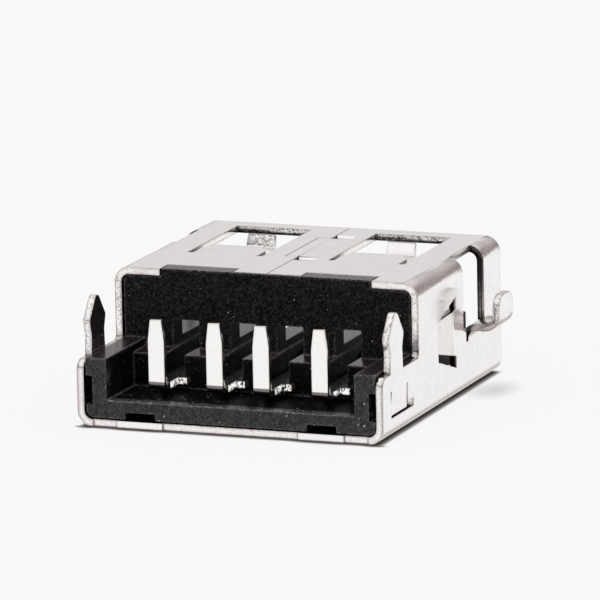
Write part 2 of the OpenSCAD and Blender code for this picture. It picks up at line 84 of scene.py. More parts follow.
# %% Round the edges
SHARP_ANGLE = math.radians(14)
FLAT_ANGLE = math.radians(0.5)
WELD_REACH = 0.0001 * MM
BEVEL_STEPS = 2
LARGE_FACES_FIRST = 100
EDGE_RADIUS = {"shield_shell": 0.02 * MM, "insulator_housing": 0.045 * MM}
STRIP_EDGE_RADIUS = 0.025 * MM


def round_edges(piece, radius):
    mesh = piece.data
    for layer in ("custom_normal", "sharp_edge", "sharp_face"):
        if layer in mesh.attributes:
            mesh.attributes.remove(mesh.attributes[layer])
    weld = piece.modifiers.new("welded_corners", "WELD")
    weld.merge_threshold = WELD_REACH
    flat = piece.modifiers.new("flat_faces", "DECIMATE")
    flat.decimate_type = "DISSOLVE"
    flat.angle_limit = FLAT_ANGLE
    flat.delimit = {"MATERIAL"}
    bevel = piece.modifiers.new("rounded_edges", "BEVEL")
    bevel.width = radius
    bevel.segments = BEVEL_STEPS
    bevel.limit_method = "ANGLE"
    bevel.angle_limit = SHARP_ANGLE
    bevel.use_clamp_overlap = False
    shading = piece.modifiers.new("flat_shading", "WEIGHTED_NORMAL")
    shading.mode = "FACE_AREA"
    shading.weight = LARGE_FACES_FIRST


for name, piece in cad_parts.items():
    round_edges(piece, EDGE_RADIUS.get(name, STRIP_EDGE_RADIUS))
print("rounded the edges of", len(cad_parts), "solids")

# %% [markdown]
# ## Which faces were cut
# The shell is plated sheet. Its broad faces are bright, but where the press sheared it the
# edge is rougher and warmer. The two kinds of face need two materials, and the choice can be
# measured: straight into the metal from a broad face, the other side is one sheet away, while
# from a cut edge it is farther. Rays from four places on each face find that distance, and the
# middle two decide, so that a ray that strays into a bend or a dent does no harm.

# %% Sort the shell's faces
BROAD_DEPTH = 0.4 * MM
RAY_START = 0.001 * MM
RAY_MISSED = 1.0
RAY_PLACES = [(0.34, 0.33, 0.33), (0.7, 0.15, 0.15), (0.15, 0.7, 0.15), (0.15, 0.15, 0.7)]

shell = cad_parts["shield_shell"]
shell_tree = BVHTree.FromPolygons(
    [vertex.co.copy() for vertex in shell.data.vertices],
    [list(face.vertices) for face in shell.data.polygons],
)
cut_faces = []
for face in shell.data.polygons:
    inward = -face.normal
    corners = [shell.data.vertices[index].co for index in face.vertices]
    depths = []
    for shares in RAY_PLACES:
        point = sum((corner * share for corner, share in zip(corners, shares)), Vector())
        depth = shell_tree.ray_cast(point + inward * RAY_START, inward)[3]
        depths.append(RAY_MISSED if depth is None else depth)
    depths.sort()
    if (depths[1] + depths[2]) / 2 > BROAD_DEPTH:
        cut_faces.append(face.index)
print("cut faces on the shell:", len(cut_faces), "of", len(shell.data.polygons))

# %% [markdown]
# ## Building with nodes
# A finish is a small network of nodes. Writing it out by hand repeats the same three steps for
# every node: make it, set its sockets, link it. The first helper does that, and short ones for
# sums, products and blends stand on it. `spread` is a soft limit: it gives 0 at its start and 1
# where it is full.

# %% Node helpers
FACTOR, FIRST_COLOUR, SECOND_COLOUR, MIXED_COLOUR = 0, 6, 7, 2


def is_socket(value):
    return isinstance(value, bpy.types.NodeSocket)


def add_node(tree, kind, inputs=None, **settings):
    node = tree.nodes.new(kind)
    for key, value in settings.items():
        setattr(node, key, value)
    for key, value in (inputs or {}).items():
        if is_socket(value):
            tree.links.new(value, node.inputs[key])
        else:
            node.inputs[key].default_value = value
    return node


def math_node(tree, operation, *values, clamp=False):
    inputs = dict(enumerate(values))
    node = add_node(tree, "ShaderNodeMath", inputs, operation=operation, use_clamp=clamp)
    return node.outputs[0]


def product(tree, value, *others):
    for other in others:
        value = math_node(tree, "MULTIPLY", value, other)
    return value


def largest(tree, value, *others):
    for other in others:
        value = math_node(tree, "MAXIMUM", value, other)
    return value


def mix_value(tree, factor, low, high):
    if is_socket(low) or is_socket(high):
        span = math_node(tree, "SUBTRACT", high, low)
    else:
        span = high - low
    return math_node(tree, "MULTIPLY_ADD", factor, span, low)


def mix_colour(tree, factor, first, second, blend="MIX"):
    first, second = (tone if is_socket(tone) else (*tone, 1) for tone in (first, second))
    inputs = {FACTOR: factor, FIRST_COLOUR: first, SECOND_COLOUR: second}
    node = add_node(tree, "ShaderNodeMix", inputs, data_type="RGBA", blend_type=blend)
    return node.outputs[MIXED_COLOUR]


def spread(tree, value, start, full):
    inputs = {"Value": value, "From Min": start, "From Max": full}
    node = add_node(tree, "ShaderNodeMapRange", inputs, interpolation_type="SMOOTHSTEP")
    return node.outputs[0]


print("node helpers ready")

# %% [markdown]
# ## Groups and places
# An effect that several finishes share is a node group with named sockets, built once and placed
# with its own values. Other marks belong to one spot of the real socket. They could be painted
# on an image, but that needs a map of the surface. Here `region` makes a box with soft limits,
# each from its start to where it is full, in the part's own millimetres: across counts from the
# middle to both sides, along runs from the rear to the mouth.

# %% Group and place helpers
FLOAT = "NodeSocketFloat"


def open_group(name, inputs, outputs):
    group = bpy.data.node_groups.new(name, "ShaderNodeTree")
    for label, value in inputs.items():
        socket = group.interface.new_socket(label, in_out="INPUT", socket_type=FLOAT)
        socket.default_value = value
    for label in outputs:
        group.interface.new_socket(label, in_out="OUTPUT", socket_type=FLOAT)
    entry = group.nodes.new("NodeGroupInput")
    result = group.nodes.new("NodeGroupOutput")
    return group, entry.outputs, result.inputs


def place_group(tree, group, **values):
    inputs = {key.replace("_", " "): value for key, value in values.items()}
    return add_node(tree, "ShaderNodeGroup", inputs, node_tree=group).outputs


def by_axis(tree, source):
    vector = add_node(tree, "ShaderNodeTexCoord").outputs[source]
    return add_node(tree, "ShaderNodeSeparateXYZ", {"Vector": vector}).outputs


def find_place(tree):
    spot = by_axis(tree, "Object")
    across = math_node(tree, "ABSOLUTE", spot["X"])
    return {"side": spot["X"], "across": across, "along": spot["Y"], "height": spot["Z"]}


def region(tree, place, **limits):
    masks = [
        spread(tree, place[axis], start * MM, full * MM)
        for axis, edges in limits.items()
        for start, full in edges
    ]
    return product(tree, *masks)


print("group and place helpers ready")

# %% [markdown]
# ## Speckle
# Seen this close, no surface is even: moulded plastic carries the fine spark texture of its
# mould, sheared metal its torn grain, plating its tiny pits. All are small irregular dots, so
# one group serves them: two layers of noise, one coarse and one fine, laid in real space so
# that they never stretch.

# %% Speckle group
FINE_PER_COARSE = 3.7
MIDDLE_GREY = 0.5

speckle, entry, result = open_group(
    "speckle", {"Grains per metre": 12000.0, "Contrast": 1.0}, ["Value"],
)
where = add_node(speckle, "ShaderNodeTexCoord").outputs["Object"]
coarse = add_node(
    speckle, "ShaderNodeTexNoise",
    {"Vector": where, "Scale": entry["Grains per metre"], "Detail": 3.0, "Roughness": 0.65},
).outputs["Fac"]
fine_scale = product(speckle, entry["Grains per metre"], FINE_PER_COARSE)
fine = add_node(
    speckle, "ShaderNodeTexNoise", {"Vector": where, "Scale": fine_scale, "Detail": 1.0},
).outputs["Fac"]
both = math_node(speckle, "ADD", coarse, fine)
centred = math_node(speckle, "SUBTRACT", both, 2 * MIDDLE_GREY)
scaled = product(speckle, centred, entry["Contrast"])
grain = math_node(speckle, "ADD", scaled, MIDDLE_GREY, clamp=True)
speckle.links.new(grain, result["Value"])
print("made group", speckle.name)

# %% [markdown]
# ## Dust
# Dust is single light specks with clear space between them, and more of it lies on faces that
# look up. Strewn little solids would be heavy. A cell texture gives each speck its own place
# instead; one random number per cell decides whether a speck is there at all and another how
# large it is.

# %% Dust group
WOBBLES_PER_METRE = 15000.0
SMALLEST_OUTLINE = 0.5
DUST_ON_WALLS = 0.45
SMALLEST_SPECK = 0.001
SPECK_RIM = (1.0, 0.6)

dust, entry, result = open_group(
    "dust", {"Specks per metre": 4000.0, "Cover": 0.3, "Size": 0.2}, ["Mask"],
)
where = add_node(dust, "ShaderNodeTexCoord").outputs["Object"]
wobble = add_node(
    dust, "ShaderNodeTexNoise", {"Vector": where, "Scale": WOBBLES_PER_METRE},
).outputs["Fac"]
cells = add_node(
    dust, "ShaderNodeTexVoronoi", {"Vector": where, "Scale": entry["Specks per metre"]},
).outputs
chance = add_node(dust, "ShaderNodeSeparateColor", {"Color": cells["Color"]}).outputs
upward = largest(dust, by_axis(dust, "Normal")["Z"], 0.0)
limit = product(dust, entry["Cover"], mix_value(dust, upward, DUST_ON_WALLS, 1.0))
present = math_node(dust, "LESS_THAN", chance["Red"], limit)
outline = math_node(dust, "ADD", wobble, SMALLEST_OUTLINE)
size = product(dust, entry["Size"], chance["Green"], outline)
size = math_node(dust, "ADD", size, SMALLEST_SPECK)
reach = math_node(dust, "DIVIDE", cells["Distance"], size)
speck = product(dust, spread(dust, reach, *SPECK_RIM), present)
dust.links.new(speck, result["Mask"])
print("made group", dust.name)

# %% [markdown]
# ## Worn edges
# Corners are handled most, so they are polished, lose a little plating and hold dust. Blender's
# Bevel node answers what the surface's direction would be if its corners were rounder; where
# that differs from the real direction there is an edge close by. The difference is the mask, and
# no edge has to be picked by hand.

# %% Edge group
EDGE_TURN = (0.003, 0.07)

edge_band, entry, result = open_group("edge_band", {"Reach": 0.05 * MM}, ["Mask"])
rounder = add_node(edge_band, "ShaderNodeBevel", {"Radius": entry["Reach"]}, samples=6)
plain = add_node(edge_band, "ShaderNodeNewGeometry").outputs["Normal"]
likeness = add_node(
    edge_band, "ShaderNodeVectorMath",
    {0: rounder.outputs["Normal"], 1: plain}, operation="DOT_PRODUCT",
).outputs["Value"]
turned = math_node(edge_band, "SUBTRACT", 1.0, likeness)
edge_band.links.new(spread(edge_band, turned, *EDGE_TURN), result["Mask"])
print("made group", edge_band.name)

# %% [markdown]
# ## Tight gaps
# Slits and corners lie in shade, and that shade is painted into their colour here. Ambient
# occlusion measures how open a place is, within a short reach; its reverse is the mask for the
# painted shade. Only the piece itself counts, so the floor adds none of it. Faces that are
# pressed together, as at the seam, get none of it.

# %% Gap group
CLOSED_IN = (0.93, 0.62)
APART = (0.06, 0.2)

# Painted shade: how closed in a place is, as a mask for darkening its colour.
painted_gap_shade, entry, result = open_group("painted_gap_shade", {"Reach": 0.3 * MM}, ["Mask"])
openness = add_node(
    painted_gap_shade, "ShaderNodeAmbientOcclusion", {"Distance": entry["Reach"]},
    samples=8, only_local=True,
).outputs["AO"]
closed_in = spread(painted_gap_shade, openness, *CLOSED_IN)
apart = spread(painted_gap_shade, openness, *APART)
painted_gap_shade.links.new(product(painted_gap_shade, closed_in, apart), result["Mask"])
print("made group", painted_gap_shade.name)

# %% [markdown]
# ## Rolling grain
# Sheet and strip come off a mill with long faint lines along the direction of rolling. Noise
# that is squeezed along one axis gives them. The shell's strip ran along the socket's length.

# %% Rolling-grain group
rolling, entry, result = open_group(
    "rolling_grain", {"Lines per metre": 9000.0, "Stretch": 0.06}, ["Value"],
)
spot = by_axis(rolling, "Object")
squeezed = product(rolling, spot["Y"], entry["Stretch"])
drawn = add_node(
    rolling, "ShaderNodeCombineXYZ", {"X": spot["X"], "Y": squeezed, "Z": spot["Z"]},
).outputs["Vector"]
lines = add_node(
    rolling, "ShaderNodeTexNoise",
    {"Vector": drawn, "Scale": entry["Lines per metre"], "Detail": 4.0, "Roughness": 0.6},
).outputs["Fac"]
rolling.links.new(lines, result["Value"])
print("made group", rolling.name)

# %% [markdown]
# ## Stretched bends
# Along the four long bends the sheet was stretched over the press tool. Its skin turned rough,
# like the peel of an orange. The half of each bend towards the side wall gets a painted dark
# reflection, broken up by that peel. On a folded box the bends are the places whose direction
# lies between two axes, so the masks come from the surface's own direction.

# %% Bend group
BETWEEN_AXES = (0.006, 0.12)
NOT_ENDWAYS = (0.6, 0.35)
TOWARDS_SIDE = (0.5, 0.93)
OFF_THE_WALL = (0.03, 0.12)
PEEL_GRAIN = (0.3, 0.75)
REFLECTION_IN_PITS, REFLECTION_ON_GRAINS = 1.15, 0.45

bend_skin, entry, result = open_group(
    "bend_skin", {"Grains per metre": 14000.0}, ["Mask", "Height", "Dark_reflection"],
)
facing = by_axis(bend_skin, "Normal")
sideways, endways, upright = (math_node(bend_skin, "ABSOLUTE", facing[axis]) for axis in "XYZ")
turned = math_node(bend_skin, "SUBTRACT", 1.0, largest(bend_skin, sideways, endways, upright))
mask = product(
    bend_skin,
    spread(bend_skin, turned, *BETWEEN_AXES), spread(bend_skin, endways, *NOT_ENDWAYS),
)
where = add_node(bend_skin, "ShaderNodeTexCoord").outputs["Object"]
peel = add_node(
    bend_skin, "ShaderNodeTexNoise",
    {"Vector": where, "Scale": entry["Grains per metre"], "Detail": 2.0},
).outputs["Fac"]
peel = spread(bend_skin, peel, *PEEL_GRAIN)
# Painted dark reflection on the half of each bend towards the side wall.
outer_half = product(
    bend_skin, mask,
    spread(bend_skin, sideways, *TOWARDS_SIDE), spread(bend_skin, upright, *OFF_THE_WALL),
)
patchy = mix_value(bend_skin, peel, REFLECTION_IN_PITS, REFLECTION_ON_GRAINS)
bend_dark_reflection = math_node(bend_skin, "MULTIPLY", outer_half, patchy, clamp=True)
bend_skin.links.new(mask, result["Mask"])
bend_skin.links.new(product(bend_skin, peel, mask), result["Height"])
bend_skin.links.new(bend_dark_reflection, result["Dark_reflection"])
print("made group", bend_skin.name)

# %% [markdown]
# ## Layers of a finish
# Every finish is put together in the same way: a base tone, then stains and wear in layers, each
# with its mask, strength and tone, and last the small relief. `bump` stacks reliefs of a real
# depth. A curl or a crumb too small to model is given by `lean`, which tips the surface's
# direction, so that it shines as the real one does.

# %% Material helpers
FULL = 1.0


def new_material(name):
    material = bpy.data.materials.new(name)
    material.use_nodes = True
    tree = material.node_tree
    return material, tree, tree.nodes["Principled BSDF"].inputs


def paint(tree, colour, *layers):
    for mask, strength, tone in layers:
        colour = mix_colour(tree, product(tree, mask, strength), colour, tone)
    return colour


def bump(tree, shader, *layers, start=None):
    normal = start
    for height, depth in layers:
        inputs = {"Height": height, "Distance": depth, "Strength": 1.0}
        if normal is not None:
            inputs["Normal"] = normal
        normal = add_node(tree, "ShaderNodeBump", inputs).outputs["Normal"]
    tree.links.new(normal, shader["Normal"])


def lean(tree, normal, direction, amount):
    push = add_node(
        tree, "ShaderNodeVectorMath", {"Vector": direction, "Scale": amount}, operation="SCALE",
    ).outputs["Vector"]
    pushed = add_node(
        tree, "ShaderNodeVectorMath", {0: normal, 1: push}, operation="ADD",
    ).outputs["Vector"]
    level = add_node(tree, "ShaderNodeVectorMath", {0: pushed}, operation="NORMALIZE")
    return level.outputs["Vector"]


print("material helpers ready")

# %% [markdown]
# ## Plated sheet
# The shell is thin steel with a bright tin-like plating: almost a mirror, but softened by
# rolling lines, by the stretched skin of the bends and by small stains. Two places differ. The
# edges at the seam carry less wear and less painted gap shade than others. Of the lips of the
# upper leaf springs, the left one is painted dark as shade and the right one curls up into the
# light.

# %% Plated-sheet masks
LIP_TO_REAR = (-0.6, -0.8)
LIP_UPWARD = (0.12, 0.2)

plated, tree, shader = new_material("plated_sheet")
lines = place_group(tree, rolling, Lines_per_metre=9000.0, Stretch=0.05)["Value"]
stains = place_group(tree, speckle, Grains_per_metre=900.0, Contrast=1.6)["Value"]
pits = place_group(tree, speckle, Grains_per_metre=16000.0, Contrast=1.0)["Value"]
bends = place_group(tree, bend_skin, Grains_per_metre=11000.0)
worn = place_group(tree, edge_band, Reach=0.15 * MM)["Mask"]
gap_shade = place_group(tree, painted_gap_shade, Reach=0.3 * MM)["Mask"]
specks = place_group(tree, dust, Specks_per_metre=2600.0, Cover=0.05, Size=0.16)["Mask"]
place, facing = find_place(tree), by_axis(tree, "Normal")
seam = region(tree, place, across=[(2.0, 1.75)], height=[(5.4, 5.5)])
right_side = region(tree, place, side=[(-0.5, 0.5)])
lip = product(
    tree, spread(tree, facing["Y"], *LIP_TO_REAR), spread(tree, facing["Z"], *LIP_UPWARD),
    region(tree, place, along=[(2.8, 3.1)]),
)
print("masks for", plated.name)

# %% [markdown]
# ### Its colour
# A metal's colour is the colour of its reflections, so the plating stays close to white and the
# layers over it are thin: brown where edges are rubbed, a warm grey on the bends with a painted
# dark reflection on their side halves, painted shade in the gaps and on the left lip.

# %% Plated-sheet colour
DULL_PLATING = (0.885, 0.862, 0.858)
BRIGHT_PLATING = (0.945, 0.928, 0.926)
RUBBED_EDGE = (0.45, 0.37, 0.335)
STRETCHED_SKIN = (0.72, 0.645, 0.615)
BEND_REFLECTION_TONE = (0.34, 0.28, 0.265)
GAP_SHADE_TONE = (0.16, 0.13, 0.11)
SHADED_LIP_TONE = (0.2, 0.16, 0.145)
WEAR, WEAR_AT_SEAM = 0.38, 0.08
GAP_SHADE_LEVEL, GAP_SHADE_AT_SEAM = 0.6, 0.12
LEFT_LIP_SHADE, RIGHT_LIP_SHADE = 0.8, 0.0

stretched = mix_value(tree, 0.5, bends["Mask"], bends["Height"])
# Painted shade on the left spring lip, in blots; the right lip gets none.
lip_shade_blots = place_group(tree, speckle, Grains_per_metre=5500.0, Contrast=2.4)["Value"]
lip_shade_blots = product(tree, spread(tree, lip_shade_blots, 0.5, 0.3), lip)
colour = paint(
    tree, mix_colour(tree, stains, DULL_PLATING, BRIGHT_PLATING),
    (worn, mix_value(tree, seam, WEAR, WEAR_AT_SEAM), RUBBED_EDGE),
    (stretched, FULL, STRETCHED_SKIN),
    # Painted dark reflection on the bends' side halves.
    (bends["Dark_reflection"], FULL, BEND_REFLECTION_TONE),
    # Painted shade in slits and corners.
    (gap_shade, mix_value(tree, seam, GAP_SHADE_LEVEL, GAP_SHADE_AT_SEAM), GAP_SHADE_TONE),
    # Painted shade on the left lip.
    (lip_shade_blots, mix_value(tree, right_side, LEFT_LIP_SHADE, RIGHT_LIP_SHADE), SHADED_LIP_TONE),
)
tree.links.new(colour, shader["Base Color"])
shader["Metallic"].default_value = 1.0
print("coloured", plated.name)

# %% [markdown]
# ### Its gloss
# Roughness follows the rolling lines, and bends, dust and worn edges add to it. The reliefs are
# at most a hundredth of a millimetre deep, as on real sheet.

# %% Plated-sheet gloss
SMOOTH_LINE, ROUGH_LINE = 0.06, 0.2
BEND_DULLS, DUST_DULLS, WEAR_DULLS = 0.08, 0.4, 0.08
UPTURN = (0.0, 0.36, 1.0)
LEFT_CURL, RIGHT_CURL = 0.04, 0.28

rough = mix_value(tree, lines, SMOOTH_LINE, ROUGH_LINE)
for mask, extra in ((bends["Mask"], BEND_DULLS), (specks, DUST_DULLS), (worn, WEAR_DULLS)):
    rough = math_node(tree, "MULTIPLY_ADD", mask, extra, rough)
tree.links.new(rough, shader["Roughness"])
plain = add_node(tree, "ShaderNodeNewGeometry").outputs["Normal"]
curl = product(tree, lip, mix_value(tree, right_side, LEFT_CURL, RIGHT_CURL))
bump(
    tree, shader,
    (lines, 0.0006 * MM), (pits, 0.0004 * MM), (bends["Height"], 0.006 * MM),
    (specks, 0.01 * MM),
    start=lean(tree, plain, UPTURN, curl),
)
print("made material", plated.name)

# %% [markdown]
# ## Sheared edge
# A press first cuts and then tears the sheet, so a cut edge is bright along its middle and
# darker along its borders. Not all cuts are alike. Those of the spring windows are torn most,
# the upper cuts at the sides carry stains, the ears' roots are painted brown as shade, the far
# edge of each side window is in the dark, and the strap stubs on the bottom rim get a painted
# highlight. Each place is a region of its own.

# %% Sheared-edge places
TO_REAR = (-0.4, -0.7)

sheared, tree, shader = new_material("sheared_edge")
place, facing = find_place(tree), by_axis(tree, "Normal")
rearward = spread(tree, facing["Y"], *TO_REAR)
spring_window = region(tree, place, height=[(5.2, 5.4)], along=[(-2.0, -1.5)])
rough_cut = product(tree, spring_window, rearward)
ear_root = region(tree, place, across=[(6.35, 6.6)], height=[(3.3, 2.7)])
side_cut = region(tree, place, across=[(5.7, 6.0)], height=[(2.6, 2.8), (5.4, 5.2)])
notch = region(tree, place, along=[(-3.65, -3.6), (-3.4, -3.45)], height=[(1.3, 1.25)])
notch = product(tree, notch, rearward)
bottom_line = region(tree, place, height=[(0.05, 0.025)])
stub = region(
    tree, place,
    across=[(2.87, 2.93), (4.88, 4.82)], along=[(-6.94, -6.96)], height=[(0.06, 0.09)],
)
window_edge = region(
    tree, place, along=[(4.85, 4.92), (5.05, 4.98)], across=[(5.7, 5.9)], height=[(2.6, 4.6)],
)
window_edge = product(tree, window_edge, rearward)
print("places for", sheared.name)

# %% [markdown]
# ### Its colour
# The base runs from a grey tear to a bright cut. Along the borders the plating breaks off, so
# the edge mask, broken up by an uneven speckle, brings a brown there. The lowest line of the
# rim is dark, because it lies on the floor and sees no light.

# %% Sheared-edge colour
GREY_TEAR = (0.89, 0.855, 0.84)
BRIGHT_CUT = (0.985, 0.965, 0.955)
EAR_ROOT_SHADE = (0.34, 0.29, 0.265)
FRAYED_BORDER = (0.3, 0.215, 0.19)
TORN_SPOT = (0.36, 0.31, 0.29)
STAIN = (0.1, 0.078, 0.068)
STUB_HIGHLIGHT = (1.0, 0.985, 0.975)
CUT_GAP_SHADE_TONE = (0.03, 0.025, 0.022)
DARK_LINE = (0.05, 0.03, 0.024)
DARK_WINDOW_EDGE = (0.05, 0.042, 0.036)
LEAST_FRAYED, MOST_FRAYED = 0.3, 1.0
LEAST_STAINED, MOST_STAINED, SIDE_STAIN = 0.12, 0.8, 0.5
CUT_GAP_SHADE_LEVEL, CUT_GAP_SHADE_IN_NOTCH = 0.92, 0.0

torn = place_group(tree, speckle, Grains_per_metre=6000.0, Contrast=1.6)["Value"]
spots = place_group(tree, dust, Specks_per_metre=5200.0, Cover=0.3, Size=0.34)["Mask"]
worn = place_group(tree, edge_band, Reach=0.17 * MM)["Mask"]
gap_shade = place_group(tree, painted_gap_shade, Reach=0.6 * MM)["Mask"]
uneven = place_group(tree, speckle, Grains_per_metre=1700.0, Contrast=2.0)["Value"]
blotch = place_group(tree, speckle, Grains_per_metre=3400.0, Contrast=2.4)["Value"]
stained = largest(tree, rough_cut, product(tree, side_cut, SIDE_STAIN))
stained = mix_value(tree, stained, LEAST_STAINED, MOST_STAINED)
colour = paint(
    tree, mix_colour(tree, torn, GREY_TEAR, BRIGHT_CUT),
    # Painted shade on the ears' roots, in brown.
    (ear_root, 0.7, EAR_ROOT_SHADE),
    (worn, mix_value(tree, uneven, LEAST_FRAYED, MOST_FRAYED), FRAYED_BORDER),
    (spots, 0.35, TORN_SPOT),
    (spread(tree, blotch, 0.5, 0.2), stained, STAIN),
    # Painted highlight on the strap stubs of the bottom rim.
    (stub, 0.75, STUB_HIGHLIGHT),
    # Painted shade in slits and corners; none in the notch.
    (gap_shade, mix_value(tree, notch, CUT_GAP_SHADE_LEVEL, CUT_GAP_SHADE_IN_NOTCH), CUT_GAP_SHADE_TONE),
    (bottom_line, 0.95, DARK_LINE),
    (window_edge, 0.9, DARK_WINDOW_EDGE),
)
tree.links.new(colour, shader["Base Color"])
shader["Metallic"].default_value = 1.0
print("coloured", sheared.name)

# %% [markdown]
# ### Its tear
# The torn grain is a shallow relief, deepest on the roughest cuts. In the notch beside each side
# lance the edge curls outwards and shines, so its direction leans to its own side.

# %% Sheared-edge relief
ROUGH_TEAR, SMOOTH_CUT = 0.24, 0.14
LEAST_RAGGED, MOST_RAGGED = 0.3, 1.0
CURL_RIGHT = (0.8, 0.0, 0.3)
CURL_LEFT = (-0.8, 0.0, 0.3)

tree.links.new(mix_value(tree, torn, ROUGH_TEAR, SMOOTH_CUT), shader["Roughness"])
ragged = product(tree, torn, mix_value(tree, rough_cut, LEAST_RAGGED, MOST_RAGGED))
on_right = region(tree, place, side=[(-1.0, 1.0)])
on_left = math_node(tree, "SUBTRACT", 1.0, on_right)
plain = add_node(tree, "ShaderNodeNewGeometry").outputs["Normal"]
curled = lean(tree, plain, CURL_RIGHT, product(tree, notch, on_right))
curled = lean(tree, curled, CURL_LEFT, product(tree, notch, on_left))
bump(tree, shader, (ragged, 0.004 * MM), start=curled)
print("made material", sheared.name)

# %% [markdown]
# ## Moulded plastic
# The insulator is black glass-filled plastic with the fine spark texture of its mould. Dust lies
# on it in patches. Its edges are paler, partly from rubbing and partly as a painted highlight
# that is strongest on the tops, and a line of dust with a painted highlight runs along the sill
# of the bay at the near end. The deep faces of the bay are painted darker as shade.

# %% Moulded-plastic masks
TOPS_UPWARD = (0.5, 0.85)
DUSTY_PATCH = (0.2, 0.65)

moulded, tree, shader = new_material("moulded_plastic")
spark = place_group(tree, speckle, Grains_per_metre=9000.0, Contrast=2.4)["Value"]
patches = place_group(tree, speckle, Grains_per_metre=1300.0, Contrast=1.5)["Value"]
worn = place_group(tree, edge_band, Reach=0.14 * MM)["Mask"]
specks = place_group(tree, dust, Specks_per_metre=4200.0, Cover=0.35, Size=0.26)["Mask"]
specks = product(tree, specks, spread(tree, patches, *DUSTY_PATCH))
haze = place_group(tree, dust, Specks_per_metre=9000.0, Cover=0.8, Size=0.6)["Mask"]
place, facing = find_place(tree), by_axis(tree, "Normal")
upward = spread(tree, facing["Z"], *TOPS_UPWARD)
tops = product(tree, upward, region(tree, place, height=[(1.5, 1.8)]))
near_end = region(tree, place, along=[(-6.3, -6.6)])
# Place of the painted shade deep in the bay.
shaded_bay = region(tree, place, along=[(-6.6, -6.4), (-2.8, -3.0)])
sill = region(tree, place, height=[(1.04, 1.08), (1.13, 1.12)], across=[(5.35, 5.25)])
sill = product(tree, near_end, sill)
print("masks for", moulded.name)

# %% [markdown]
# ### Its colour
# Black plastic is only a few percent grey, and its light comes from the gloss. All the layers
# are therefore very dark, apart from the pale dust and the painted edge highlights.

# %% Moulded-plastic colour
BLACK_PIT = (0.0003, 0.0003, 0.0003)
BLACK_SKIN = (0.027, 0.0225, 0.0255)
BAY_SHADE_TONE = (0.0004, 0.0004, 0.0004)
TOP_TINT = (0.024, 0.012, 0.019)
DUST_HAZE = (0.06, 0.052, 0.056)
PALE_DUST_AND_HIGHLIGHT = (0.36, 0.345, 0.34)
PALE_EDGE_ON_WALLS, PALE_EDGE_ON_TOPS = 0.3, 0.9
SILL_BETWEEN_SPECKS, SILL_ON_SPECKS = 0.12, 0.9

# Pale edges: rubbed wear and a painted highlight, strongest on the tops.
rubbed_and_highlit = product(
    tree, worn, spread(tree, spark, 0.3, 0.6), mix_value(tree, upward, PALE_EDGE_ON_WALLS, PALE_EDGE_ON_TOPS),
)
# Sill line: dust with a painted highlight.
sill_dust_and_highlight = product(tree, sill, mix_value(tree, haze, SILL_BETWEEN_SPECKS, SILL_ON_SPECKS))
colour = paint(
    tree, mix_colour(tree, spread(tree, spark, 0.3, 1.0), BLACK_PIT, BLACK_SKIN),
    # Painted shade in the deep part of the bay.
    (shaded_bay, 0.75, BAY_SHADE_TONE),
    (tops, 0.8, TOP_TINT),
    (haze, spread(tree, patches, 0.4, 0.75), DUST_HAZE),
    # Pale dust, and painted highlight on edges and sill.
    (largest(tree, specks, rubbed_and_highlit, sill_dust_and_highlight), FULL, PALE_DUST_AND_HIGHLIGHT),
)
tree.links.new(colour, shader["Base Color"])
print("coloured", moulded.name)

# %% [markdown]
# ### Its gloss
# The faces that the mould's parting closed on, the tops and the near end, are polished and show
# a clear gloss; the deep faces were spark eroded and stay dull. The gloss is a clear coat whose
# amount follows where a face lies and which way it looks.

# %% Moulded-plastic gloss
ROUGH_PIT, ROUGH_GRAIN = 0.36, 0.6
DULL_COAT, CLEAR_COAT = 0.05, 0.94
COAT_IN_PITS, COAT_ON_GRAINS = 0.45, 1.3

shader["Specular IOR Level"].default_value = 0.05
shader["Coat Roughness"].default_value = 0.25
tree.links.new(mix_value(tree, spark, ROUGH_PIT, ROUGH_GRAIN), shader["Roughness"])
polished = mix_value(tree, largest(tree, tops, near_end), DULL_COAT, CLEAR_COAT)
mottled = mix_value(tree, spark, COAT_IN_PITS, COAT_ON_GRAINS)
gloss = math_node(tree, "MULTIPLY", polished, mottled, clamp=True)
tree.links.new(gloss, shader["Coat Weight"])
bump(tree, shader, (spark, 0.004 * MM), (specks, 0.012 * MM))
print("made material", moulded.name)

# %% [markdown]
# ## Contact strip
# The contacts are stamped from copper-alloy strip and bright plated for soldering, so they are
# a little lighter and warmer than the shell, with fine lines along the strip. Each tail's foot
# is painted dark as shade. The shoulders are torn and crusted where they are pressed into the
# insulator, so the masks mark that place and which way its faces look.

# %% Contact-strip masks
TO_SIDE = (0.4, 0.7)
SHOULDER_UPWARD = (0.6, 0.9)
CRUMB_RIM = (0.47, 0.22)
CRUMB_SHADE_ON_WALLS, CRUMB_SHADE_ON_TOPS = 1.0, 0.3

strip, tree, shader = new_material("contact_strip")
place, facing = find_place(tree), by_axis(tree, "Normal")
pressed = region(tree, place, height=[(1.72, 1.68)], along=[(-5.45, -5.35)])
sideways = spread(tree, math_node(tree, "ABSOLUTE", facing["X"]), *TO_SIDE)
rearward = spread(tree, facing["Y"], *TO_REAR)
upward = spread(tree, facing["Z"], *SHOULDER_UPWARD)
# Place of the painted shade at the foot of each tail.
shaded_foot = region(tree, place, along=[(-5.85, -5.9)], height=[(1.79, 1.74)])
shaded_foot = product(tree, rearward, shaded_foot)
crumbs = place_group(tree, speckle, Grains_per_metre=3200.0, Contrast=3.0)["Value"]
# Painted shade between the shoulder crumbs and on the far end of their sides.
crumb_shade_by_facing = mix_value(tree, upward, CRUMB_SHADE_ON_WALLS, CRUMB_SHADE_ON_TOPS)
crumb_gap_shade = product(tree, spread(tree, crumbs, *CRUMB_RIM), pressed, crumb_shade_by_facing)
shaded_far_end = product(tree, sideways, region(tree, place, along=[(-4.57, -4.54)]), pressed)
print("masks for", strip.name)

